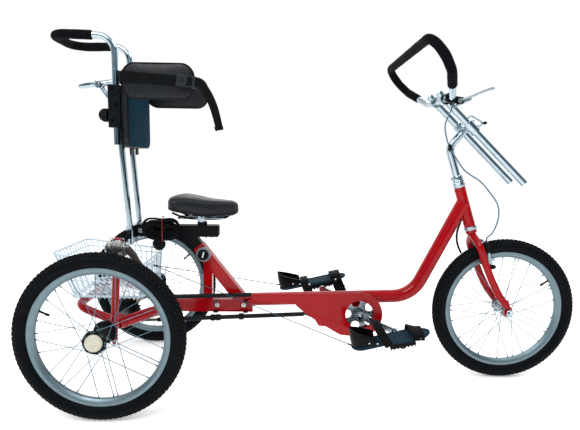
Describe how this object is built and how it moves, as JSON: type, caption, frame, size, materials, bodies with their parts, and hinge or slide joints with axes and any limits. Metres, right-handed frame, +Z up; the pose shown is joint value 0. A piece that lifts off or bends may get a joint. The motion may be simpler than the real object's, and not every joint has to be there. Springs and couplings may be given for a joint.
{
  "type": "adaptive tricycle",
  "caption": "Adaptive pedal tricycle with upright saddle, padded back support, push handle, loop handlebar, strapped foot plates and a wire basket between the rear wheels.",
  "frame": {"origin": "on the ground, under the middle of the whole tricycle", "axes": "+X forward, +Y to the rider's left, +Z up"},
  "size_m": [1.8298, 0.726, 1.1719],
  "materials": {
    "red_paint": "gloss powder coat",
    "chrome": "polished plate",
    "black_metal": "satin black",
    "axle_steel": "turned steel",
    "brake_metal": "worn plated steel",
    "crank_alloy": "polished alloy",
    "vinyl": "soft vinyl",
    "pad_fabric": "black coated fabric",
    "webbing": "woven nylon",
    "foam": "closed cell foam",
    "white_wire": "white plastic coat",
    "tyre_rubber": "matte rubber",
    "rim_alloy": "satin anodised",
    "spoke_steel": "bright steel",
    "hub_black": "satin black",
    "hub_alloy": "polished alloy",
    "cable_jacket": "plastic jacket",
    "plate_plastic": "moulded plastic"
  },
  "bodies": {
    "frame": {"main_frame": "red_paint", "rear_rail": "red_paint", "rear_frame": "red_paint", "seat_mast": "red_paint", "mast_knob": "chrome", "seat_rail": "black_metal", "saddle_post": "chrome", "saddle": "vinyl", "chain_guard": "red_paint", "chain": "axle_steel", "chain_sleeves": "black_metal", "rear_axle": "axle_steel", "parking_brake": "brake_metal", "basket": "white_wire", "back_uprights": "chrome", "back_clamps": "black_metal", "back_pad": "pad_fabric", "side_pads": "pad_fabric", "chest_belt": "webbing", "push_handle": "chrome", "push_grip": "foam", "cord_hank": "webbing", "headset": "chrome"},
    "rear_sprocket": {"rear_sprocket": "axle_steel"},
    "wheel_rear_right": {"tyre_rear_right": "tyre_rubber", "rim_rear_right": "rim_alloy", "spokes_rear_right": "spoke_steel", "hub_rear_right": "hub_black"},
    "wheel_rear_left": {"tyre_rear_left": "tyre_rubber", "rim_rear_left": "rim_alloy", "spokes_rear_left": "spoke_steel", "hub_rear_left": "hub_black"},
    "steering": {"fork": "red_paint", "front_axle": "axle_steel", "stem": "chrome", "handlebar": "chrome", "handlebar_foam": "foam", "brake_lever": "black_metal", "front_brake": "brake_metal", "brake_cable": "cable_jacket"},
    "wheel_front": {"tyre_front": "tyre_rubber", "rim_front": "rim_alloy", "spokes_front": "spoke_steel", "hub_front": "hub_alloy"},
    "crank": {"crankset": "crank_alloy"},
    "pedal_right": {"foot_plate_right": "plate_plastic"},
    "pedal_left": {"foot_plate_left": "plate_plastic"}
  },
  "joints": [
    {"name": "steering", "type": "hinge", "parent": "frame", "child": "steering", "pos_m": [0.52733, 0, 0.55097], "axis": [-0.309, 0, 0.9511], "range_deg": [-45, 45]},
    {"name": "front_wheel_spin", "type": "hinge", "parent": "steering", "child": "wheel_front", "pos_m": [0.662, 0, 0.253], "axis": [0, 1, 0], "continuous": true},
    {"name": "rear_right_wheel_spin", "type": "hinge", "parent": "frame", "child": "wheel_rear_right", "pos_m": [-0.662, -0.306, 0.253], "axis": [0, 1, 0], "continuous": true},
    {"name": "rear_left_wheel_spin", "type": "hinge", "parent": "frame", "child": "wheel_rear_left", "pos_m": [-0.662, 0.306, 0.253], "axis": [0, 1, 0], "continuous": true},
    {"name": "crank_spin", "type": "hinge", "parent": "frame", "child": "crank", "pos_m": [0.139, 0, 0.243], "axis": [0, 1, 0], "continuous": true},
    {"name": "rear_sprocket_spin", "type": "hinge", "parent": "frame", "child": "rear_sprocket", "pos_m": [-0.662, -0.046, 0.253], "axis": [0, 1, 0], "continuous": true},
    {"name": "right_pedal_spin", "type": "hinge", "parent": "crank", "child": "pedal_right", "pos_m": [0.25776, -0.16, 0.19012], "axis": [0, 1, 0], "continuous": true},
    {"name": "left_pedal_spin", "type": "hinge", "parent": "crank", "child": "pedal_left", "pos_m": [0.02024, 0.16, 0.29588], "axis": [0, 1, 0], "continuous": true}
  ],
  "couplings": [
    {"joint": "right_pedal_spin", "follows": "crank_spin", "ratio": -1},
    {"joint": "left_pedal_spin", "follows": "crank_spin", "ratio": -1},
    {"joint": "rear_sprocket_spin", "follows": "crank_spin", "ratio": 1.7381}
  ]
}
